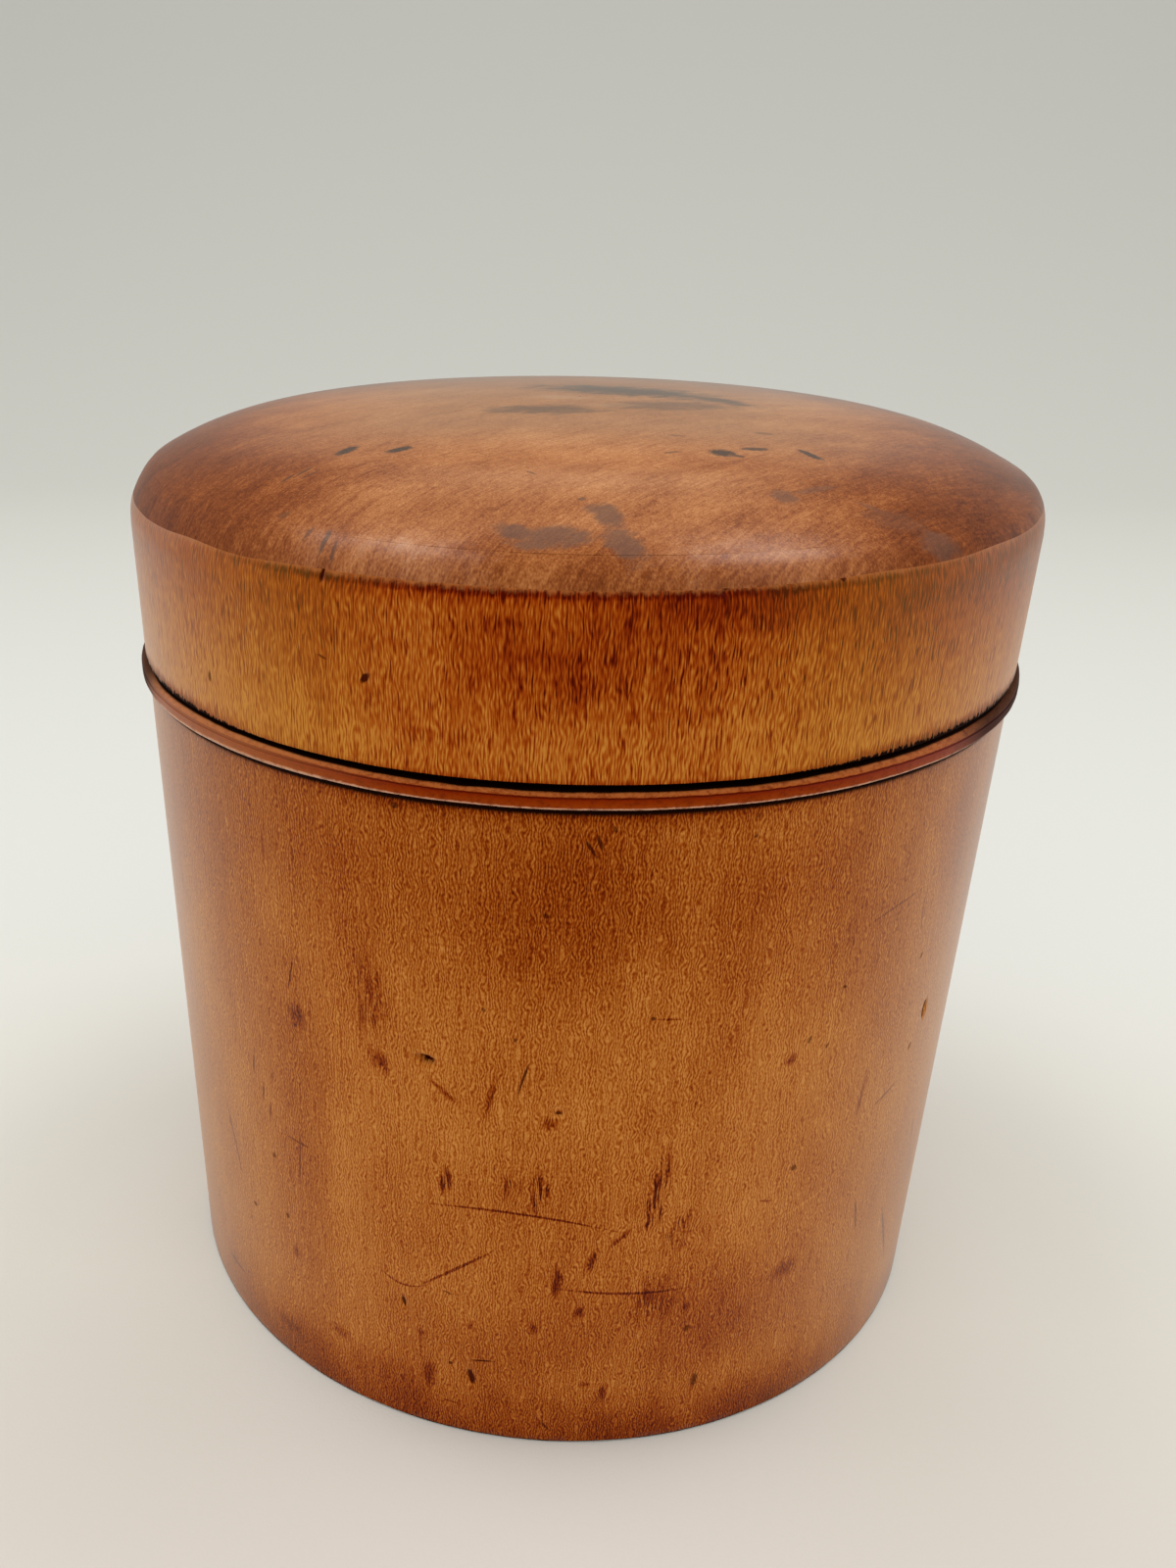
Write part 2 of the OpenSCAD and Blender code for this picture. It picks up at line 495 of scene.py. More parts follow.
BODY_SOFT_MARKS = {
    "upright blot": (1.6, 24.8, 6.0, 1.7, 91, 1.0, 0),
    "blotch on the right": (32.5, 21.6, 4.6, 4.4, 60, 0.6, 0),
    "blotch on the left": (-33.0, 52.6, 4.6, 4.0, 60, 0.65, 0),
    "smudge left of the worm hole": (-21.0, 50.7, 4.4, 3.0, -70, 0.9, 0),
    "low blotch on the left": (-28.8, 9.4, 4.0, 3.0, 0, 0.5, 0),
    "smudge at the left foot": (-39.1, 5.1, 6.0, 3.2, -20, 0.45, 0),
    "blot on the left": (-36.1, 18.3, 3.2, 1.5, 80, 0.6, 0),
    "spot left of the blot": (-1.2, 17.9, 3.0, 1.4, 85, 0.9, 0),
    "spot right of the blot": (4.5, 20.7, 2.2, 1.7, 60, 0.75, 0),
    "spot over the knock": (-9.3, 17.1, 2.2, 0.9, 80, 0.7, 0),
    "spots left of the knock": (-16.0, 14.3, 1.8, 1.4, 40, 0.6, 0),
    "haze left of the knock": (-14.9, 8.4, 6.0, 2.6, 90, 0.6, 0),
    "smear by the front foot": (8.2, 8.2, 4.6, 1.6, 76, 0.9, 0),
    "smear left of it": (5.9, 9.5, 2.0, 1.4, 10, 0.6, 0),
    "spot right of the scratch": (18.5, 20.2, 2.4, 1.2, 80, 0.6, 0),
    "smear by the blot": (5.7, 27.8, 6.0, 1.3, 72, 0.9, 0),
    "tail of the smear": (9.1, 31.0, 4.4, 0.9, 47, 0.8, 0),
    "left leg of the funnel": (-12.5, 48.5, 5.6, 1.0, -40, 0.7, 0),
    "right leg of the funnel": (-7.1, 48.6, 7.0, 1.1, 77, 0.7, 0),
    "haze of the dent": (0.0, 46.2, 2.6, 2.4, 0, 0.6, 0),
    "streak on the right": (42.4, 42.7, 8.0, 1.0, 82, 0.7, 0),
    "dashes in a row": (28.9, 51.1, 2.6, 1.8, 30, 0.7, 0),
}
BODY_SHADES = {
    "under the bead": (0.0, 80.0, 80.0, 5.0, 0, 0.6, 0),
    "upper middle": (1.0, 72.0, 26.0, 34.0, 0, 0.9, 0),
    "upper left": (-26.0, 68.0, 14.0, 26.0, 0, 0.5, 0),
    "left of the middle": (-33.0, 44.0, 12.0, 50.0, 0, 0.5, 0),
    "lower right": (20.0, 17.0, 36.0, 30.0, 0, 0.9, 0),
    "lower middle": (-4.0, 13.0, 40.0, 26.0, 0, 0.6, 0),
    "upper right edge": (56.0, 70.0, 14.0, 34.0, 0, 0.6, 0),
}
BODY_LIGHT_PATCHES = {
    "right of the middle": (27.0, 44.0, 26.0, 40.0, 10, 0.9, 0),
    "left middle": (-26.0, 40.0, 12.0, 44.0, 0, 0.6, 0),
    "over the worm hole": (-16.0, 62.0, 14.0, 22.0, 0, 0.5, 0),
}
BODY_STREAKS = {
    "left streaks": (-12.5, 37.2, 5.0, 1.9, 82, 0.9, 0),
    "square streaks": (-4.4, 37.1, 5.2, 3.2, 90, 0.8, 0),
    "middle streaks": (-1.0, 37.4, 7.6, 3.0, 90, 1.0, 0),
    "right streaks": (13.4, 37.1, 12.0, 3.8, 85, 1.0, 0),
    "streaks at the right end": (16.5, 31.0, 8.0, 4.0, 70, 0.7, 0),
    "streaks over the worm hole": (-22.0, 58.0, 14.0, 7.0, 90, 0.5, 0),
    "low streaks": (14.0, 22.0, 10.0, 7.0, 60, 0.5, 0),
}
BODY_SCRATCHES = {
    "long scratch": (-3.0, 34.1, 24.0, 0.42, -4, 0.9, 8.5),
    "left of the smile": (-18.7, 20.9, 7.4, 0.4, -6, 0.7, -9.0),
    "right of the smile": (-11.2, 25.1, 12.5, 0.5, 40, 0.9, 0),
    "level scratch": (10.1, 23.2, 17.0, 0.45, -4, 0.85, -2.0),
    "arc on the right": (42.9, 65.6, 10.6, 0.35, 10, 0.6, 1.6),
    "leg of the arc": (49.1, 63.3, 4.8, 0.4, -84, 0.6, 0),
    "slant on the right": (48.1, 40.4, 6.2, 0.42, 15, 0.95, 0),
    "line at the lower right": (46.0, 24.1, 6.4, 0.5, -77, 0.9, 0),
    "line near the right edge": (56.6, 15.5, 13.6, 0.6, -67, 0.95, 0),
    "upper edge line": (61.0, 29.2, 4.6, 0.6, -80, 0.8, 0),
    "lower edge line": (64.5, 21.6, 3.2, 0.7, -82, 0.8, 0),
    "level faint line": (12.8, 58.5, 3.2, 0.3, -5, 0.6, 0),
    "dash at the lower right": (28.1, 33.0, 2.2, 0.4, -18, 0.8, 0),
    "first left line": (-42.3, 42.7, 3.0, 0.4, 83, 0.8, 0),
    "second left line": (-40.6, 39.6, 3.8, 0.42, 84, 0.8, 0),
    "third left line": (-39.4, 37.6, 2.6, 0.4, 84, 0.8, 0),
    "hairline on the left": (-49.5, 28.6, 11.6, 0.42, -74.5, 0.85, 0),
    "diagonal on the left": (-34.5, 35.4, 4.8, 0.3, -2, 0.75, 0),
    "upright on the left": (-34.2, 33.0, 8.4, 0.34, 85.5, 0.7, 0),
    "curve on the left": (-33.6, 57.5, 5.0, 0.34, 77, 0.8, -0.5),
    "line at the left foot": (-53.3, 6.4, 5.6, 0.7, -1, 0.85, 0),
    "line at the front foot": (-12.2, 4.5, 3.2, 0.3, -7, 0.6, 0),
}
BODY_PALE_MARKS = {
    "pale scratch": (35.1, 30.7, 8.8, 0.34, 17, 0.8, 0),
    "pale speck": (19.0, 64.9, 0.5, 0.5, 0, 0.8, 0),
}

# Colours of the waxed wood from its darkest to its lightest tone, and of the bead from its lower edge up.
BODY_WOOD = ((0.0, (0.05, 0.002, 0.0003)), (0.3, (0.18, 0.022, 0.001)), (0.5, (0.29, 0.057, 0.003)),
             (0.7, (0.40, 0.115, 0.014)), (1.0, (0.56, 0.23, 0.05)))
# The bead's two lowest, pale stops are a painted highlight along its rounded lower edge.
BEAD_WOOD = ((0.0, (0.70, 0.44, 0.31)), (0.12, (0.58, 0.30, 0.18)), (0.20, (0.27, 0.040, 0.002)),
             (0.62, (0.21, 0.018, 0.0005)), (0.70, (0.12, 0.006, 0.0005)), (0.77, (0.12, 0.006, 0.0005)),
             (0.82, (0.36, 0.09, 0.018)), (0.96, (0.36, 0.10, 0.022)))
BODY_GOLDEN = (0.40, 0.26, 0.07, 1)
BEAD_STAIN = (0.14, 0.014, 0.001, 1)
BEAD_PALER_LEFT = (0.42, 0.16, 0.05, 1)

body_wax, place, numbers = start_material("waxed_body_wood")
x, y, z = numbers
side, angle = side_place(numbers, body_r)
turned_away = abs(angle)
at_front = step(turned_away, 62, 30)
not_behind = step(turned_away, 120, 104)

# The grain: fine upright ripples, specks and rays, and slower changes of tone.
rippled = wavy(side, (2.4, 3.4, 1.0), (0.6, 0.0, 0.0))
ripple = ripples(side, 0.34, (1.0, 1.9, 1.0), 3.0)
speckle = noise(side, (0.13, 0.36, 1.0), detail=0.0, flat=True)
band = noise(place, (1.6, 1.6, 26.0), detail=2.0, roughness=0.6, shift=(6, 1, 4))
streaky = noise(rippled, (0.4, 6.0, 1.0), detail=2.0, roughness=0.6, shift=(5, 3, 0), flat=True)
ray = dashes(place, (0.7, 0.7, 2.2), (0.12, 0.12, 0.7))
figure = noise(place, (5.0, 16.0, 40.0), turn=12, detail=3.0, roughness=0.55)
mottle = noise(place, (11.0, 11.0, 15.0), detail=4.0, roughness=0.6, shift=(3, 8, 1))

# The marks of use, with ragged rims, and painted shade near the bead and towards the foot.
ragged = noise(place, (0.5, 0.5, 1.2), detail=3.0, roughness=0.6)
rag = (ragged - 0.5) * 1.1
soft_rag = (noise(place, (0.6, 0.6, 2.4), detail=3.0, roughness=0.65) - 0.5) * 1.6
dark = marks(side, rag, on_side(BODY_DARK_MARKS, body_r))
soft = marks(side, soft_rag, on_side(BODY_SOFT_MARKS, body_r), core=0.0)
shade = marks(side, soft_rag * 0.4, on_side(BODY_SHADES, body_r), core=0.0)
light = marks(side, soft_rag * 0.4, on_side(BODY_LIGHT_PATCHES, body_r), core=0.0)
streaked = marks(side, soft_rag, on_side(BODY_STREAKS, body_r), core=0.2) * step(streaky, 0.44, 0.56)
scratch = marks(side, rag, on_side(BODY_SCRATCHES, body_r))
pale = marks(side, rag, on_side(BODY_PALE_MARKS, body_r))
# Painted shade towards the foot, stronger at the front.
painted_foot_shade = step(z + (mottle - 0.5) * 6, 10, 0) * (0.45 + at_front * 0.55)
upper_shade = step(z, 46, 78)
bead_shade = step(z, bead_low_z - 1.8, bead_low_z - 0.6)
tone = (0.70 + ripple * 0.18 + (speckle - 0.5) * 0.55 + (streaky - 0.5) * 0.25 + (band - 0.5) * 0.12
        + (mottle - 0.5) * 0.45 + (figure - 0.5) * 0.15 - ray * 0.14 - upper_shade * 0.12 - painted_foot_shade * 0.36
        - shade * 0.22 + light * 0.12 - soft * 0.58 - streaked * 0.75 - scratch * 0.5 + pale * 0.25
        - bead_shade * 0.15)
golden = step(turned_away, 22, 55) * step(turned_away, 120, 85)
wood = mix(golden * 0.14, tint(tone, BODY_WOOD), BODY_GOLDEN)
wood = mix(dark, wood, MARK)

# The bead: a painted highlight along its lower edge, reaching higher on the left, then dark in its groove,
# stained in patches, and paler on the left.
edge_wander = z + (ragged - 0.5) * 0.2
bead_face = step(edge_wander, bead_low_z + 0.02, bead_low_z + 0.1)
# On the left the painted highlight along the bead's lower edge reaches higher.
painted_highlight_left = step(angle, -14, -36) * step(angle, -75, -62)
up_bead = (edge_wander - bead_low_z) / bead_h - painted_highlight_left * 0.11
bead_stain = step(noise(place, (0.7, 0.7, 0.5), detail=3.0, roughness=0.7), 0.42, 0.72)
# The bead is paler on the left.
bead_paler_left = step(angle, -14, -42) * step(angle, -120, -104)
bead_wood = mix(bead_stain * 0.75, tint(up_bead, BEAD_WOOD), BEAD_STAIN)
bead_wood = mix(bead_paler_left * 0.4, bead_wood, BEAD_PALER_LEFT)
wood = mix(bead_face, wood, bead_wood)

# Dirt and painted shade: dirt with painted shade in a line under the bead, dirt over the bead and at its
# far ends, and a painted contact shadow along the foot.
out = length(flat_place(x, y))
# A dark line under the bead's overhang: dirt, with painted shade.
shade_and_dirt_under_bead = step(edge_wander, bead_low_z - 0.95, bead_low_z - 0.5) * step(z, bead_low_z + 0.05, bead_low_z)
far_round = step(turned_away, 58, 72) * not_behind
over_bead = (step(out + far_round * 0.5, bead_r - 0.35, bead_r - 0.7)
             * step(z, bead_groove_z, bead_groove_z + 0.1))
far_tip = (step(angle, 44, 56) + step(angle, -56, -67)) * not_behind * bead_face * 0.85
# A painted contact shadow along the lowest edge of the foot.
painted_foot_shadow = step(z + (ragged - 0.5) * 0.3, 0.45, 0.15)
# All the darkening together: dirt, and painted shade under the bead and along the foot.
darkening = shade_and_dirt_under_bead.most(over_bead).most(painted_foot_shadow).most(far_tip)
wood = mix(darkening, wood, DIRT_AND_PAINTED_SHADE)
roughness = 0.5 + (mottle - 0.5) * 0.2 + darkening * 0.3 + dark * 0.2
relief = ripple * 0.12 + speckle * 0.25 + streaky * 0.4 - ray * 0.2
worn_foot = step(z, 18, 4) * at_front
wax = shine(z) * (1 - darkening) * (1 - dark) * (1 - bead_face * 0.5) * (1 - worn_foot * 0.7)
waxed = {"Base Color": wood, "Roughness": roughness, "Coat Weight": wax}
finish_material(body_wax, waxed, relief, 0.025, WAX)

# Colours of the bare wood from its darkest to its lightest tone.
BARE_WOOD = ((0.0, (0.10, 0.035, 0.010)), (0.5, (0.34, 0.15, 0.055)), (1.0, (0.55, 0.30, 0.14)))


def bare_wood(name, seat_dirt):
    """Unwaxed wood with the tool's fine lines round the axis: noise over the distance from the axis and the
    height. It is darker near the floor, which is painted shade, and has dirt of the given strength at the
    foot of the spigot."""
    material, place, (x, y, z) = start_material(name)
    out = length(flat_place(x, y))
    fibre = noise(place, (0.35, 0.35, 2.0), detail=3.0, roughness=0.6)
    mottle = noise(place, (14.0, 14.0, 18.0), detail=4.0, roughness=0.6)
    tool_lines = noise(flat_place(out, z), (0.6, 0.6, 1.0), detail=2.0)
    tone = (0.5 + (fibre - 0.5) * 0.4 + (mottle - 0.5) * 0.6 + (tool_lines - 0.5) * 0.35
            - step(z, 20, 6) * 0.1)
    at_seat = step(abs(z - seat_z), 1.4, 0) * step(out, spigot_r - 0.4, spigot_r - 0.1)
    wood = mix(at_seat * seat_dirt, tint(tone, BARE_WOOD), DIRT_AND_PAINTED_SHADE)
    bare = {"Base Color": wood, "Roughness": 0.6 + (fibre - 0.5) * 0.2}
    finish_material(material, bare, tool_lines * 0.7 + fibre * 0.5, 0.06, BARE)
    return material


body_bare = bare_wood("bare_body_wood", seat_dirt=0.9)

turned_body.data.materials.append(body_wax)
turned_body.data.materials.append(body_bare)
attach(turned_body, "body")
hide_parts("body")

# The lid: a cap turned from a second block, hollow below, with a socket that slides over the spigot.
# Its side shows long grain. Its shoulder and shallow crown show end grain, browner, stained and rubbed.

lid_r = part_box("lid")[1].x / MM
lid_top_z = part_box("lid")[1].z / MM
lid_clearance = 0.15
spigot_headroom = 0.8
lid_side_h = 14.5 + joint_drop
arris_r = 5.6
shoulder_slope = 29.5
shoulder_w = 14.2
crown_r = 300.0
crown_t = 8.0
ceiling_fillet = 2.5
rim_round = 0.12
grain_line_angle = 24.0
grain_line_gap = 1.5
grain_line_wander = 1.6
dome_lean = 0.59
lean_starts = 0.5
lean_band = 2.6
lid_out_of_round = 0.03
arris_wear = 0.05
rim_wear = 0.05
socket_r = spigot_r + lid_clearance
step_z = spigot_top_z + spigot_headroom
side_top_z = seat_z + lid_side_h
crown_edge_r = lid_r - shoulder_w
crown_slope = math.degrees(math.asin(crown_edge_r / crown_r))
arris_end_r = lid_r - arris_r * (1 - math.sin(math.radians(shoulder_slope)))
arris_end_z = side_top_z + arris_r * math.cos(math.radians(shoulder_slope))
slope_sines = math.sin(math.radians(shoulder_slope)) - math.sin(math.radians(crown_slope))
shoulder_r = (arris_end_r - crown_edge_r) / slope_sines
shoulder_c = (arris_end_r - shoulder_r * math.sin(math.radians(shoulder_slope)),
              arris_end_z - shoulder_r * math.cos(math.radians(shoulder_slope)))
grain_line_z = side_top_z + arris_r * math.sin(math.radians(grain_line_angle))
ceiling_z = lid_top_z - crown_t

# Hollows in the lid's side, as on the body's: angle, height, length, width, tilt, depth.
LID_HOLLOWS = {
    "nick on the left": (-21.0, 91.4, 0.9, 1.6, 20, 0.2),
    "crack over it": (-25.9, 100.2, 0.45, 2.0, 0, 0.3),
    "knock on the edge": (14.8, 100.2, 1.2, 0.9, 0, 0.25),
}
lid_places = np.array(list(LID_HOLLOWS.values()))
lid_angles = crowded(-180, 180, steps_round + 1, lid_places[:, 0], spread=1.6, gain=4)[:-1]
arris_c = (lid_r - arris_r, side_top_z)
lid_parts = {
    "ceiling": straight((centre_ring_r, ceiling_z), (bore_r - ceiling_fillet - 1, ceiling_z), 12),
    "ceiling edge": arc((bore_r - ceiling_fillet, ceiling_z - ceiling_fillet), ceiling_fillet, 90, 0, 10),
    "step": straight((bore_r, step_z), (socket_r - 0.1, step_z), 4),
    "socket": straight((socket_r, step_z - 0.1), (socket_r, seat_z + 0.3), 10),
    "rim": straight((socket_r + 0.3, seat_z), (lid_r - rim_round - 0.1, seat_z), 5),
    "rim edge": arc((lid_r - rim_round, seat_z + rim_round), rim_round, -90, 0, 5),
    "side": straight((lid_r, seat_z + rim_round + 0.2), (lid_r, side_top_z - 0.2), 40),
    "low arris": arc(arris_c, arris_r, 0, grain_line_angle, 12),
    "high arris": arc(arris_c, arris_r, grain_line_angle + grain_line_gap, 90 - shoulder_slope, 18),
    "shoulder": arc(shoulder_c, shoulder_r, 90 - shoulder_slope - 0.6, 90 - crown_slope, 36),
    "crown": arc((0, lid_top_z - crown_r), crown_r, 90 - crown_slope + 0.2, 90.4, 34),
}
lid_outline = np.concatenate(list(lid_parts.values()))
lid_part_of = np.repeat(list(lid_parts), [len(part) for part in lid_parts.values()])
lid_radii = np.repeat(lid_outline[:, :1], len(lid_angles), axis=1)
lid_heights = np.repeat(lid_outline[:, 1:], len(lid_angles), axis=1)

# The line where long grain turns to end grain wanders along the rounded edge.
grain_line = grain_line_angle + grain_line_wander * uneven(lid_angles, seed=21, fewest=2, most=40)
arris_turns = {
    "low arris": (0, grain_line),
    "high arris": (grain_line + grain_line_gap, 90 - shoulder_slope),
}
for part, (start, end) in arris_turns.items():
    on_part = lid_part_of == part
    share = np.linspace(0, 1, on_part.sum())[:, None]
    a = np.radians(start + (end - start) * share)
    lid_radii[on_part] = arris_c[0] + arris_r * np.cos(a)
    lid_heights[on_part] = arris_c[1] + arris_r * np.sin(a)

# The dome was turned a little out of true: it is higher at the left, but only inside its rounded edge.
on_dome = np.isin(lid_part_of, ("high arris", "shoulder", "crown"))
lean_share = np.clip((lid_r - lean_starts - lid_radii) / lean_band, 0, 1)
lean = -lid_radii * np.sin(np.radians(lid_angles)) * math.tan(math.radians(dome_lean))
lid_heights[on_dome] += (lean * lean_share ** 2 * (3 - 2 * lean_share))[on_dome]

# Hand work and wear: the side is not quite round, and the edges are rubbed.
on_rim_edge = lid_part_of == "rim edge"
on_arris = np.isin(lid_part_of, ("low arris", "high arris"))
on_lid_side = on_arris | (lid_part_of == "side")
lid_wobble = lid_out_of_round * uneven(lid_angles, seed=13, fewest=2, most=9)
lid_radii[on_lid_side] += lid_wobble
lid_radii[on_lid_side] -= hollow_depth(lid_angles, lid_outline[on_lid_side, 1], lid_r, LID_HOLLOWS)
lid_radii[on_arris] -= arris_wear * np.abs(uneven(lid_angles, seed=15, fewest=4, most=60))
lid_radii[on_rim_edge] += lid_wobble - rim_wear * np.abs(uneven(lid_angles, seed=17, fewest=6, most=80))
lid_heights[on_rim_edge] += rim_wear * np.abs(uneven(lid_angles, seed=18, fewest=6, most=80))

turned_lid = turned("turned_lid", lid_radii, lid_heights, lid_angles, ceiling_z, lid_top_z)
lid_bare_parts = ("ceiling", "ceiling edge", "step", "socket", "rim")
lid_slots = np.where(np.isin(lid_part_of, lid_bare_parts), 2, np.where(on_dome, 1, 0))
paint_rings(turned_lid, lid_slots, len(lid_angles))

# Marks on the lid's side: angle from the front in degrees, height, length, width, turn, strength, bow.
LID_SIDE_MARKS = {
    "nick on the left": (-21.0, 91.4, 1.6, 0.75, 48, 0.95, 0),
    "spot at the far left": (-44.1, 87.6, 1.3, 0.6, 85, 0.7, 0),
    "dash on the left": (-26.0, 92.7, 1.2, 0.32, -19, 0.65, 0),
    "crack over the nick": (-25.9, 100.2, 2.6, 0.5, 88, 0.95, 0),
    "knot on the edge": (14.8, 100.4, 1.3, 0.9, 0, 0.95, 0),
    "tail of the knot": (15.0, 98.6, 3.4, 0.35, 88, 0.6, 0),
    "spot on the right edge": (27.3, 100.3, 0.7, 0.6, 0, 0.85, 0),
}
LID_SIDE_CLOUDS = {
    "left leg of the arch": (-7.1, 97.0, 3.2, 0.9, 50, 0.9, 0),
    "top of the arch": (-5.7, 97.6, 3.0, 1.0, -17, 0.9, 0),
    "right leg of the arch": (-5.8, 94.9, 5.0, 1.5, -85, 1.0, 0),
    "smear": (-1.5, 94.4, 9.6, 2.8, -7, 0.95, 0),
    "end of the smear": (1.0, 92.0, 5.6, 5.6, 0, 0.8, 0),
    "streak": (5.8, 97.6, 6.0, 2.2, -86, 1.0, 0),
    "second streak": (2.4, 97.4, 6.0, 2.4, -86, 0.7, 0),
    "low cloud": (24.0, 89.0, 5.0, 3.0, 40, 0.5, 0),
}
LID_SHADES = {
    "under the edge": (-4.0, 100.8, 64.0, 7.0, 0, 1.3, 0),
    "under the edge at the right": (14.0, 99.4, 34.0, 10.0, 0, 1.2, 0),
    "front": (2.0, 95.0, 44.0, 20.0, 0, 0.75, 0),
    "right end": (48.0, 93.0, 60.0, 26.0, 0, 0.38, 0),
    "left of the front": (-22.0, 92.0, 24.0, 18.0, 0, 0.3, 0),
}
LID_DASHED = {
    "dashed middle": (16.5, 93.0, 20.0, 13.0, 10, 1.0, 0),
    "dashed right": (36.0, 94.0, 30.0, 18.0, 0, 0.75, 0),
    "dashed under the smear": (0.0, 91.0, 14.0, 6.0, 0, 0.8, 0),
}
LID_PALE_MARKS = {
    "scuff on the left": (-37.0, 86.4, 3.6, 0.7, 22, 0.7, 0),
    "second scuff": (-35.0, 86.0, 2.0, 0.6, -40, 0.6, 0),
    "pale scratch": (43.4, 85.4, 5.6, 0.4, -43, 0.8, 0),
    "level scuff": (9.2, 90.0, 3.0, 0.3, -5, 0.6, 0),
    "golden patch": (17.0, 88.0, 12.0, 5.0, 10, 0.5, 0),
}

# Colours of the lid's side from its darkest to its lightest tone.
LID_SIDE_WOOD = ((0.0, (0.06, 0.002, 0.0003)), (0.3, (0.19, 0.018, 0.001)), (0.5, (0.29, 0.042, 0.002)),
                 (0.7, (0.38, 0.088, 0.006)), (1.0, (0.54, 0.21, 0.032)))
LID_GOLDEN = (0.40, 0.25, 0.02, 1)
END_GRAIN = (0.33, 0.11, 0.028, 1)

lid_wax, place, numbers = start_material("waxed_lid_side")
z = numbers[2]
side, angle = side_place(numbers, lid_r)
turned_away = abs(angle)
not_behind = step(turned_away, 125, 104)
over_rim = z - seat_z

# The grain: upright fibres, specks, long vessels and short rays, and slower changes of tone.
swayed = wavy(side, (4.0, 8.0, 1.0), (0.6, 0.0, 0.0))
fibre = ripples(side, 0.36, (1.1, 2.8, 1.0), 3.0)
speckle = noise(swayed, (0.14, 0.8, 1.0), detail=0.0, shift=(1, 2, 0), flat=True)
vessel = step(noise(swayed, (0.18, 2.6, 1.0), detail=0.0, shift=(2, 5, 0), flat=True), 0.62, 0.74)
band = noise(place, (1.4, 1.4, 30.0), detail=2.0, roughness=0.6, shift=(6, 1, 4))
streaky = noise(place, (0.6, 0.6, 14.0), detail=3.0, roughness=0.6)
ray = dashes(place, (0.42, 0.42, 2.1), (0.13, 0.13, 0.7))
mottle = noise(place, (10.0, 10.0, 12.0), detail=4.0, roughness=0.6, shift=(5, 2, 6))

# The marks of use, and the shade under the edge, down the sides and along the rim.
ragged = noise(place, (0.5, 0.5, 1.0), detail=3.0, roughness=0.6)
rag = (ragged - 0.5) * 1.1
cloud_rag = (noise(place, (0.5, 0.5, 3.0), detail=3.0, roughness=0.65) - 0.5) * 2.0
dark = marks(side, rag, on_side(LID_SIDE_MARKS, lid_r))
cloud = marks(side, cloud_rag * 0.6, on_side(LID_SIDE_CLOUDS, lid_r), core=0.0)
dashed = marks(side, cloud_rag, on_side(LID_DASHED, lid_r), core=0.0)
pale = marks(side, cloud_rag, on_side(LID_PALE_MARKS, lid_r), core=0.2)
shade = marks(side, cloud_rag * 0.3, on_side(LID_SHADES, lid_r), core=0.0)
off_edge = abs(z + (ragged - 0.5) * 0.8 - (grain_line_z - 0.4))
edge_line = step(off_edge, 0.5, 0.1) * step(turned_away, 50, 25)
downward = (step(z, 100, 84) - 0.55) * step(turned_away, 12, 34)
high_shade = (step(angle, 12, 34, 0.18) + step(angle, -12, -30, 0.1)) * not_behind * step(z, 93, 99)
fringe = (step(angle, 18, 42) + step(angle, -30, -54)) * not_behind
bristle = noise(side, (0.35, 3.0, 1.0), detail=2.0, roughness=0.7)
smudge = step(over_rim - (bristle - 0.4) * 3, 1.3, 0.1) * fringe
rim_shade = step(over_rim, 0.7, 0)
tone = (0.76 + downward * 0.3 - high_shade - smudge * 0.6 + fibre * 0.15 + (speckle - 0.5) * 0.5
        + (streaky - 0.5) * 0.25 + (band - 0.5) * 0.2 + (mottle - 0.5) * 0.35
        - vessel * (0.33 + dashed * 0.2) - ray * (0.1 + dashed * 0.6) - cloud * 0.24 - shade * 0.36
        + pale * 0.14 - edge_line * 0.25 - rim_shade * 0.2)
golden = step(turned_away, 14, 34) * step(turned_away, 120, 85)
wood = mix(golden * 0.15, tint(tone, LID_SIDE_WOOD), LID_GOLDEN)
turn_to_end = step(z + (ragged - 0.5) * 1.2, grain_line_z - 0.45, grain_line_z + 0.2)
wood = mix(turn_to_end * 0.8, wood, END_GRAIN)
wood = mix(dark, wood, MARK)
darkening = step(over_rim - (bristle - 0.32) * fringe * 2.2, 0.08, 0.0)
wood = mix(darkening, wood, DIRT_AND_PAINTED_SHADE)
roughness = 0.5 + (mottle - 0.5) * 0.2 + darkening * 0.3 + dark * 0.2
relief = fibre * 0.12 + speckle * 0.4 - vessel * 0.3 - ray * 0.5
dull_right = step(angle, 30, 60) * step(angle, 125, 104)
wax = shine(z) * (1 - darkening) * (1 - dark) * (1 - smudge * 0.7) * (1 - dull_right * 0.2)
waxed = {"Base Color": wood, "Roughness": roughness, "Coat Weight": wax}
finish_material(lid_wax, waxed, relief, 0.025, WAX)

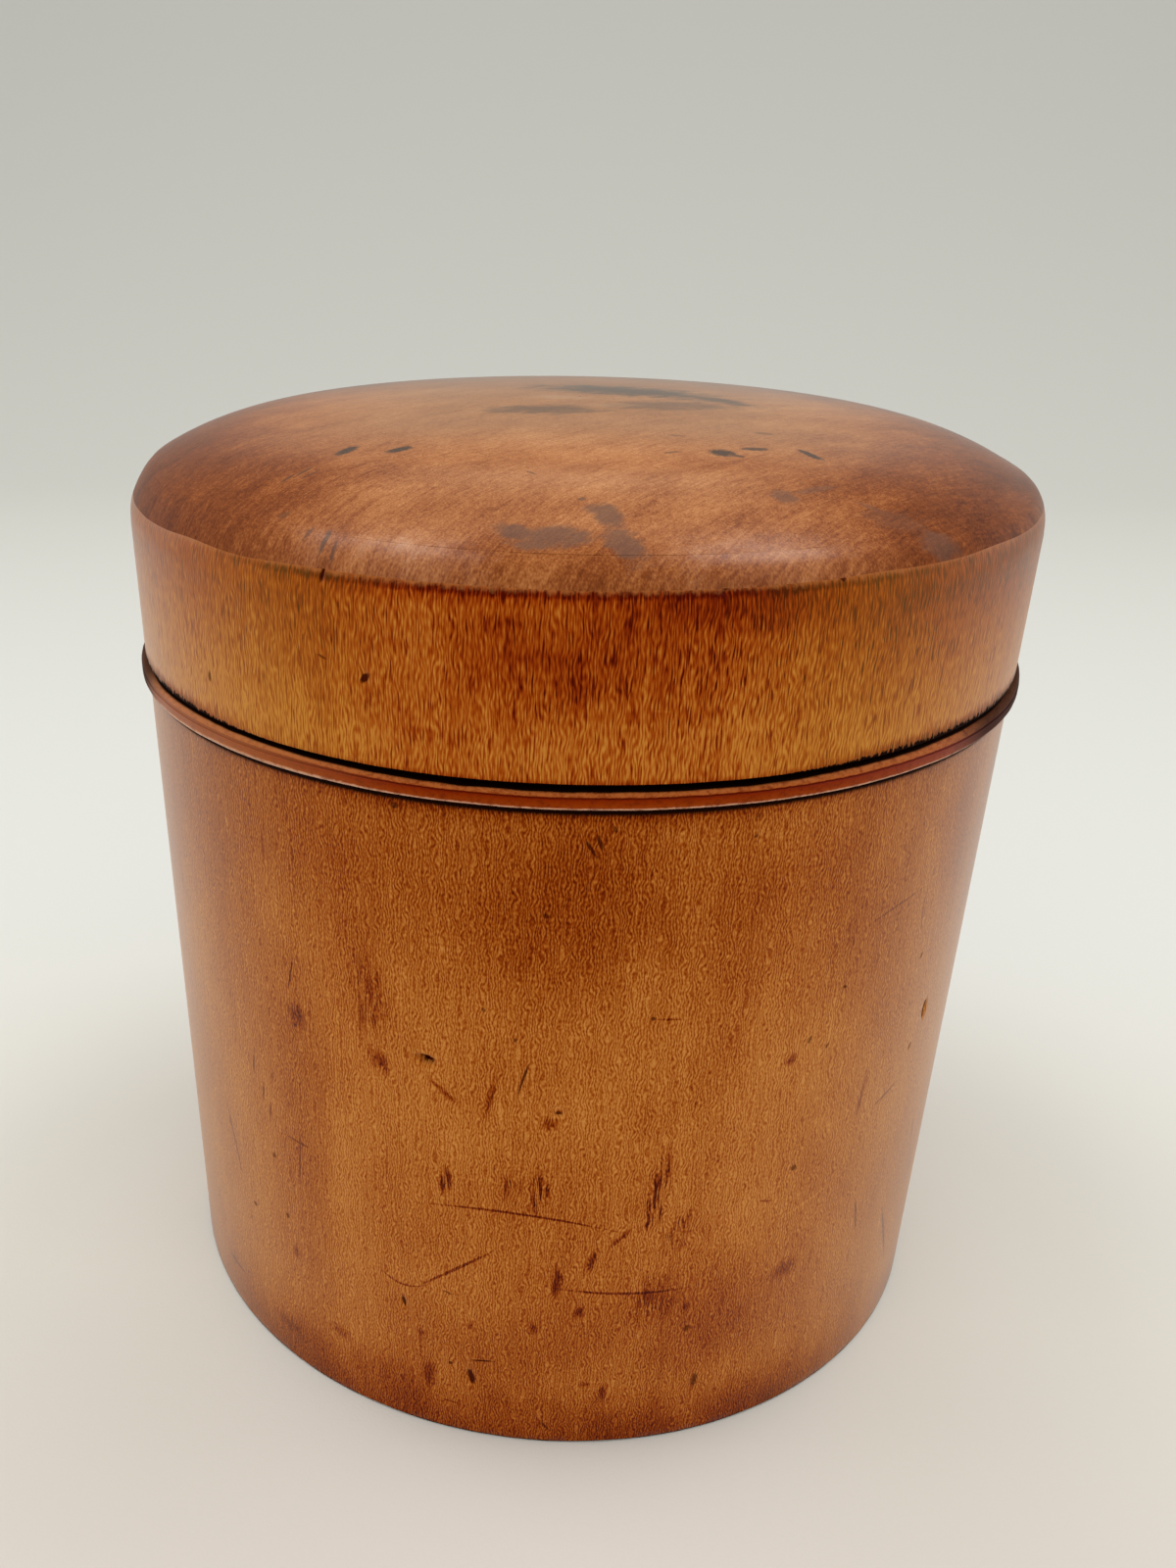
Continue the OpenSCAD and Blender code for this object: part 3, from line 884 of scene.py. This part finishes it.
# Marks on the lid's top: across, away from the front, length, width, turn, strength, bow.
LID_TOP_BLOTS = {
    "left blot": (-22.2, -25.8, 4.4, 1.8, 62, 0.95, 0),
    "next blot": (-17.0, -26.3, 3.8, 1.9, 40, 0.95, 0),
    "right blot": (13.6, -25.6, 3.2, 3.0, 0, 0.95, 0),
    "tail of the right blot": (14.9, -26.3, 2.0, 1.1, -25, 0.8, 0),
    "thin blot": (16.9, -23.3, 3.8, 1.5, 16, 0.85, 0),
    "slanted blot": (22.1, -23.7, 4.8, 1.3, -60, 0.95, 0),
    "faint blot": (8.8, -26.5, 2.2, 0.8, 28, 0.55, 0),
    "faint blot behind": (18.4, -16.4, 3.0, 1.6, 0, 0.4, 0),
    "upper faint blot": (9.6, -20.0, 2.0, 0.8, 0, 0.4, 0),
    "fleck at the left": (-26.8, -32.0, 2.2, 0.6, 45, 0.6, 0),
    "second fleck": (-25.4, -31.0, 2.4, 0.6, 50, 0.6, 0),
    "third fleck": (-24.6, -32.0, 2.2, 0.5, 40, 0.5, 0),
    "scratch in the middle": (-4.1, -34.4, 2.0, 0.4, -48, 0.6, 0),
    "speck over the lobes": (0.5, -40.3, 1.0, 0.7, 20, 0.6, 0),
    "marks by the crack": (-21.6, -42.9, 2.4, 0.7, 60, 0.7, 0),
    "second mark by the crack": (-23.2, -41.6, 1.6, 0.5, 40, 0.55, 0),
    "third mark by the crack": (-20.7, -44.0, 1.6, 0.5, 70, 0.6, 0),
    "blot at the left": (-26.0, -38.5, 1.6, 1.0, 20, 0.4, 0),
}
LID_TOP_STREAKS = {
    "far streak": (5.2, 6.2, 29.0, 13.0, -14, 1.0, 0),
    "tail of the far streak": (15.0, 2.0, 14.0, 6.0, -40, 0.9, 0),
    "near streak": (-3.4, -9.0, 17.0, 7.0, 5, 0.7, 0),
    "end of the near streak": (9.5, -4.4, 18.0, 8.0, 15, 0.6, 0),
}
LID_TOP_STAINS = {
    "purple spot": (18.2, -36.5, 3.4, 3.0, 30, 0.8, 0),
    "tail of the purple spot": (21.0, -34.2, 7.0, 1.3, 38, 0.55, 0),
    "faint purple streak": (26.4, -35.2, 4.4, 1.2, -12, 0.5, 0),
    "left lobe": (-1.8, -45.7, 9.4, 3.4, 7, 1.0, 0),
    "end of the left lobe": (-5.0, -45.0, 5.0, 2.6, -22, 1.0, 0),
    "upper lobe": (2.6, -42.6, 5.2, 3.6, -58, 1.0, 0),
    "lower lobe": (4.2, -46.2, 6.0, 3.6, -36, 0.95, 0),
    "blotch at the right": (32.2, -36.6, 5.6, 3.0, 30, 0.7, 0),
    "haze at the right": (28.0, -36.0, 9.0, 4.0, 20, 0.35, 0),
}
LID_TOP_PALE = {
    "pale patch": (4.0, -5.6, 11.0, 3.0, 8, 0.4, 0),
    "pale streak": (-2.2, -0.6, 10.0, 4.0, -8, 0.5, 0),
}
# Where the top shines, the wax is glossier and the wood's colour is lifted as a painted highlight. Pale
# hair scratches are painted there as glints.
LID_TOP_SHEEN = {
    "left sheen": (-12.7, -46.9, 17.0, 6.5, -16, 1.0, 0),
    "far left sheen": (-22.0, -43.0, 8.0, 4.5, -28, 0.6, 0),
    "right sheen": (15.0, -45.5, 24.0, 7.5, 19, 0.75, 0),
}


def on_top(spots):
    """Marks on the lid's top given as (across, away, length, width, turn, strength, bow), for marks()."""
    return [((across, away, 0), *rest) for across, away, *rest in spots.values()]


# Colours of the lid's top from its darkest to its lightest tone, and of what lies on it.
LID_TOP_WOOD = ((0.0, (0.09, 0.020, 0.005)), (0.3, (0.19, 0.048, 0.011)), (0.5, (0.29, 0.092, 0.024)),
                (0.75, (0.41, 0.160, 0.052)), (1.0, (0.54, 0.25, 0.10)))
# A painted grey reflection, laid over the middle of the top.
PAINTED_REFLECTION_GREY = (0.24, 0.17, 0.11, 1)
DARK_STREAK = (0.065, 0.055, 0.046, 1)
PURPLE_STAIN = (0.125, 0.066, 0.046, 1)
PALE_PATCH = (0.40, 0.24, 0.14, 1)
DARK_BLOT = (0.055, 0.032, 0.022, 1)
HAIR_SCRATCH_AND_GLINT = (0.6, 0.36, 0.22, 1)

lid_top, place, numbers = start_material("rubbed_lid_top")
x, y = numbers[:2]
plan = flat_place(x, y)
out = length(plan)
ends = abs(x)

# The end grain: pores, grit, brush marks along one way, growth rings and mottling.
pores = noise(plan, (0.18, 0.18, 1.0), detail=1.0, flat=True)
grit = noise(plan, (0.6, 0.6, 1.0), detail=2.0, roughness=0.6, shift=(7, 7, 0), flat=True)
brush_path = wavy(plan, (6.0, 6.0, 1.0), (1.5, 1.5, 0.0))
brushed = noise(brush_path, (3.5, 0.25, 1.0), turn=50, detail=2.0, roughness=0.6)
smears = step(noise(plan, (4.5, 1.0, 1.0), turn=55, detail=3.0, roughness=0.6, shift=(9, 4, 0)), 0.55, 0.75)
rings = noise(plan, (30.0, 2.2, 1.0), turn=35, detail=3.0, roughness=0.55)
mottle = noise(plan, (8.0, 5.0, 1.0), turn=40, detail=5.0, roughness=0.65, shift=(4, 1, 0))

# The marks of use, with fine hair scratches where the top shines, painted pale as glints.
rag = (noise(plan, (0.5, 0.5, 1.0), detail=3.0, roughness=0.6) - 0.5) * 1.1
stain_rag = (noise(plan, (2.6, 1.3, 1.0), turn=20, detail=4.0, roughness=0.65) - 0.5) * 1.7
hair_lines = [(30, (5.0, 0.7, 1.0)), (75, (4.0, 0.8, 1.0)), (-35, (4.5, 0.9, 1.0))]
hair = None
for turn, size in hair_lines:
    line = step(abs(noise(plan, size, turn=turn, detail=1.0) - 0.5), 0.03, 0.0)
    hair = line if hair is None else hair.most(line)
blots = marks(plan, rag, on_top(LID_TOP_BLOTS))
streaks = marks(plan, stain_rag, on_top(LID_TOP_STREAKS), core=0.3)
stains = marks(plan, stain_rag, on_top(LID_TOP_STAINS), core=0.4)
pale = marks(plan, stain_rag, on_top(LID_TOP_PALE), core=0.2)
sheen = marks(plan, stain_rag, on_top(LID_TOP_SHEEN), core=0.0)
hair = hair * sheen * step(mottle, 0.45, 0.65)

# Broad zones: a painted grey reflection across the middle, darker towards the rim, the ends and the back,
# lighter in front.
middle = step(y, -30, -14) * step(y, 44, 26) * step(ends, 36, 12)
front = step(y, -30, -39) * step(y, -48, -44) * step(ends, 30, 14)
rim_shade = step(out, 20, 46)
crown_shade = step(y, -36, -18) * step(ends, 36, 14)
back_shade = step(y, 2, 24) * step(y, 42, 27)
end_shade = step(ends, 18, 46)
right_shade = step(x, 18, 38) * step(y, -20, -34)
# The sheen term in the tone is a painted highlight.
tone = (0.90 + (pores - 0.5) * 0.5 + (grit - 0.5) * 0.4 + (brushed - 0.5) * 0.5 + (rings - 0.5) * 0.25
        + (mottle - 0.5) * 0.7 - smears * 0.16 - rim_shade * 0.52 + sheen * 0.1 - crown_shade * 0.2
        - back_shade * 0.24 + front * 0.17 - end_shade * 0.2 - right_shade * 0.1)
wood = mix(middle * 0.4, tint(tone, LID_TOP_WOOD), PAINTED_REFLECTION_GREY)
wood = mix(streaks * 0.85, wood, DARK_STREAK)
wood = mix(stains * 0.75, wood, PURPLE_STAIN)
wood = mix(pale * (1 - streaks), wood, PALE_PATCH)
wood = mix(blots, wood, DARK_BLOT)
# The hair scratches are real scratches, painted pale as glints of light.
wood = mix(hair * 0.35, wood, HAIR_SCRATCH_AND_GLINT)
roughness = 0.6 + (mottle - 0.5) * 0.2 - sheen * 0.1
relief = pores * 0.5 + brushed * 0.5 + hair * 0.8
back_wax = step(y, -12, 25) * step(y, 42, 27)
end_wax = (step(x, 0, 45) * 0.5 + step(x, -5, -45) * 0.3) * step(y, -38, -18)
rubbed_rim = step(out, 36, 46) * step(y, 0, -25)
wax = 0.34 + back_wax * 0.6 + front * 0.55 + end_wax - rubbed_rim * 0.3 + sheen * 0.8
waxed = {"Base Color": wood, "Roughness": roughness, "Coat Weight": wax * (1 - stains * 0.5)}
finish_material(lid_top, waxed, relief, 0.03, WAX)

lid_bare = bare_wood("bare_lid_wood", seat_dirt=0.0)

turned_lid.data.materials.append(lid_wax)
turned_lid.data.materials.append(lid_top)
turned_lid.data.materials.append(lid_bare)
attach(turned_lid, "lid")
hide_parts("lid")

# The stage: a seamless pale sweep, flat under the box and curved up behind it, with soft light from above
# and all round. Its sizes are in metres.

sweep_half = 1.2
sweep_front = -1.0
sweep_bend = 0.45
sweep_back = 0.95
sweep_top = 1.6
bend = np.radians(np.linspace(0, 90, 24))
sweep_y = np.concatenate([[sweep_front], sweep_back - sweep_bend + sweep_bend * np.sin(bend), [sweep_back]])
sweep_z = np.concatenate([[0], sweep_bend - sweep_bend * np.cos(bend), [sweep_top]])
sweep_points = np.concatenate([np.stack([np.full(len(sweep_y), side_x), sweep_y, sweep_z], axis=1)
                               for side_x in (-sweep_half, sweep_half)])
left = np.arange(len(sweep_y) - 1)
right = left + len(sweep_y)
sweep_faces = np.stack([left, right, right + 1, left + 1], axis=1)
sweep_mesh = bpy.data.meshes.new("sweep")
sweep_mesh.from_pydata(sweep_points.tolist(), [], sweep_faces.tolist())
sweep_mesh.shade_smooth()
sweep = bpy.data.objects.new("sweep", sweep_mesh)
bpy.context.scene.collection.objects.link(sweep)

# The paper's colours, from just in front of the box to the wall behind it: warm, then pale, then greyer.
# The warm, darker strip in front of the box is a painted shadow with a painted reflection of the box. The
# greying towards the wall is painted shade away from the lamps.
PAPER_AND_PAINTED_SHADE = ((0.03, (0.64, 0.605, 0.555)), (0.07, (0.71, 0.70, 0.64)), (0.17, (0.665, 0.675, 0.64)),
         (0.50, (0.60, 0.60, 0.56)), (0.82, (0.52, 0.52, 0.485)), (1.0, (0.47, 0.47, 0.44)))
MATT = {"Roughness": 0.9, "Specular IOR Level": 0.1}
paper_from = -0.1
sweep_paper, place, numbers = start_material("sweep_paper")
away = (numbers[1] * MM - paper_from) / (sweep_back - paper_from)
paper_tooth = noise(place, (0.4, 0.4, 0.4))
finish_material(sweep_paper, {"Base Color": tint(away, PAPER_AND_PAINTED_SHADE)}, paper_tooth, 0.02, MATT)
sweep.data.materials.append(sweep_paper)

world = bpy.data.worlds.new("soft_room")
bpy.context.scene.world = world
world.use_nodes = True
world.node_tree.nodes["Background"].inputs["Color"].default_value = (1.0, 0.99, 0.97, 1)
world.node_tree.nodes["Background"].inputs["Strength"].default_value = 1.0


def soft_lamp(name, place, aim, size, power):
    """A square soft light at a place in metres that faces the point it is aimed at."""
    lamp = bpy.data.lights.new(name, "AREA")
    lamp.size = size
    lamp.energy = power
    holder = bpy.data.objects.new(name, lamp)
    holder.location = place
    holder.rotation_euler = (Vector(aim) - Vector(place)).to_track_quat("-Z", "Y").to_euler()
    bpy.context.scene.collection.objects.link(holder)


window_size = 0.36
window_power = 1.6
box_middle = (cad_low + cad_high) / 2
soft_lamp("left_window", (-0.32, 0.05, 0.80), box_middle, window_size, window_power)
soft_lamp("right_window", (0.32, 0.12, 0.80), box_middle, window_size, window_power)

# The camera stands where the photograph was taken from: a wide lens close in front of the box and a little
# above it, tilted down, with the picture's centre off the lens axis. Its place is in metres, its angles
# are in radians, and its focal length and axis are in the photograph's pixels.

PHOTO_W = 1200
PHOTO_H = 1600
focal_px = 1397.0
axis_px = (452.4, 957.6)
eye = Vector((0.0, -0.1625, 0.1300))
pitch_down = 0.5071
yaw_right = -0.0954
roll = -0.0055
sensor_mm = 36.0

ahead = Vector((math.sin(yaw_right) * math.cos(pitch_down), math.cos(yaw_right) * math.cos(pitch_down),
                -math.sin(pitch_down)))
level = Vector((math.cos(yaw_right), -math.sin(yaw_right), 0))
above = level.cross(ahead)
across = level * math.cos(roll) + above * math.sin(roll)
upward = above * math.cos(roll) - level * math.sin(roll)
lens = bpy.data.cameras.new("camera")
lens.sensor_width = sensor_mm
lens.lens = sensor_mm * focal_px / PHOTO_H
lens.shift_x = (PHOTO_W / 2 - axis_px[0]) / PHOTO_H
lens.shift_y = (axis_px[1] - PHOTO_H / 2) / PHOTO_H
lens.clip_start = 0.005
camera = bpy.data.objects.new("camera", lens)
camera.matrix_world = Matrix.Translation(eye) @ Matrix((across, upward, -ahead)).transposed().to_4x4()
bpy.context.scene.collection.objects.link(camera)
bpy.context.scene.camera = camera
bpy.context.scene.view_settings.view_transform = "Standard"
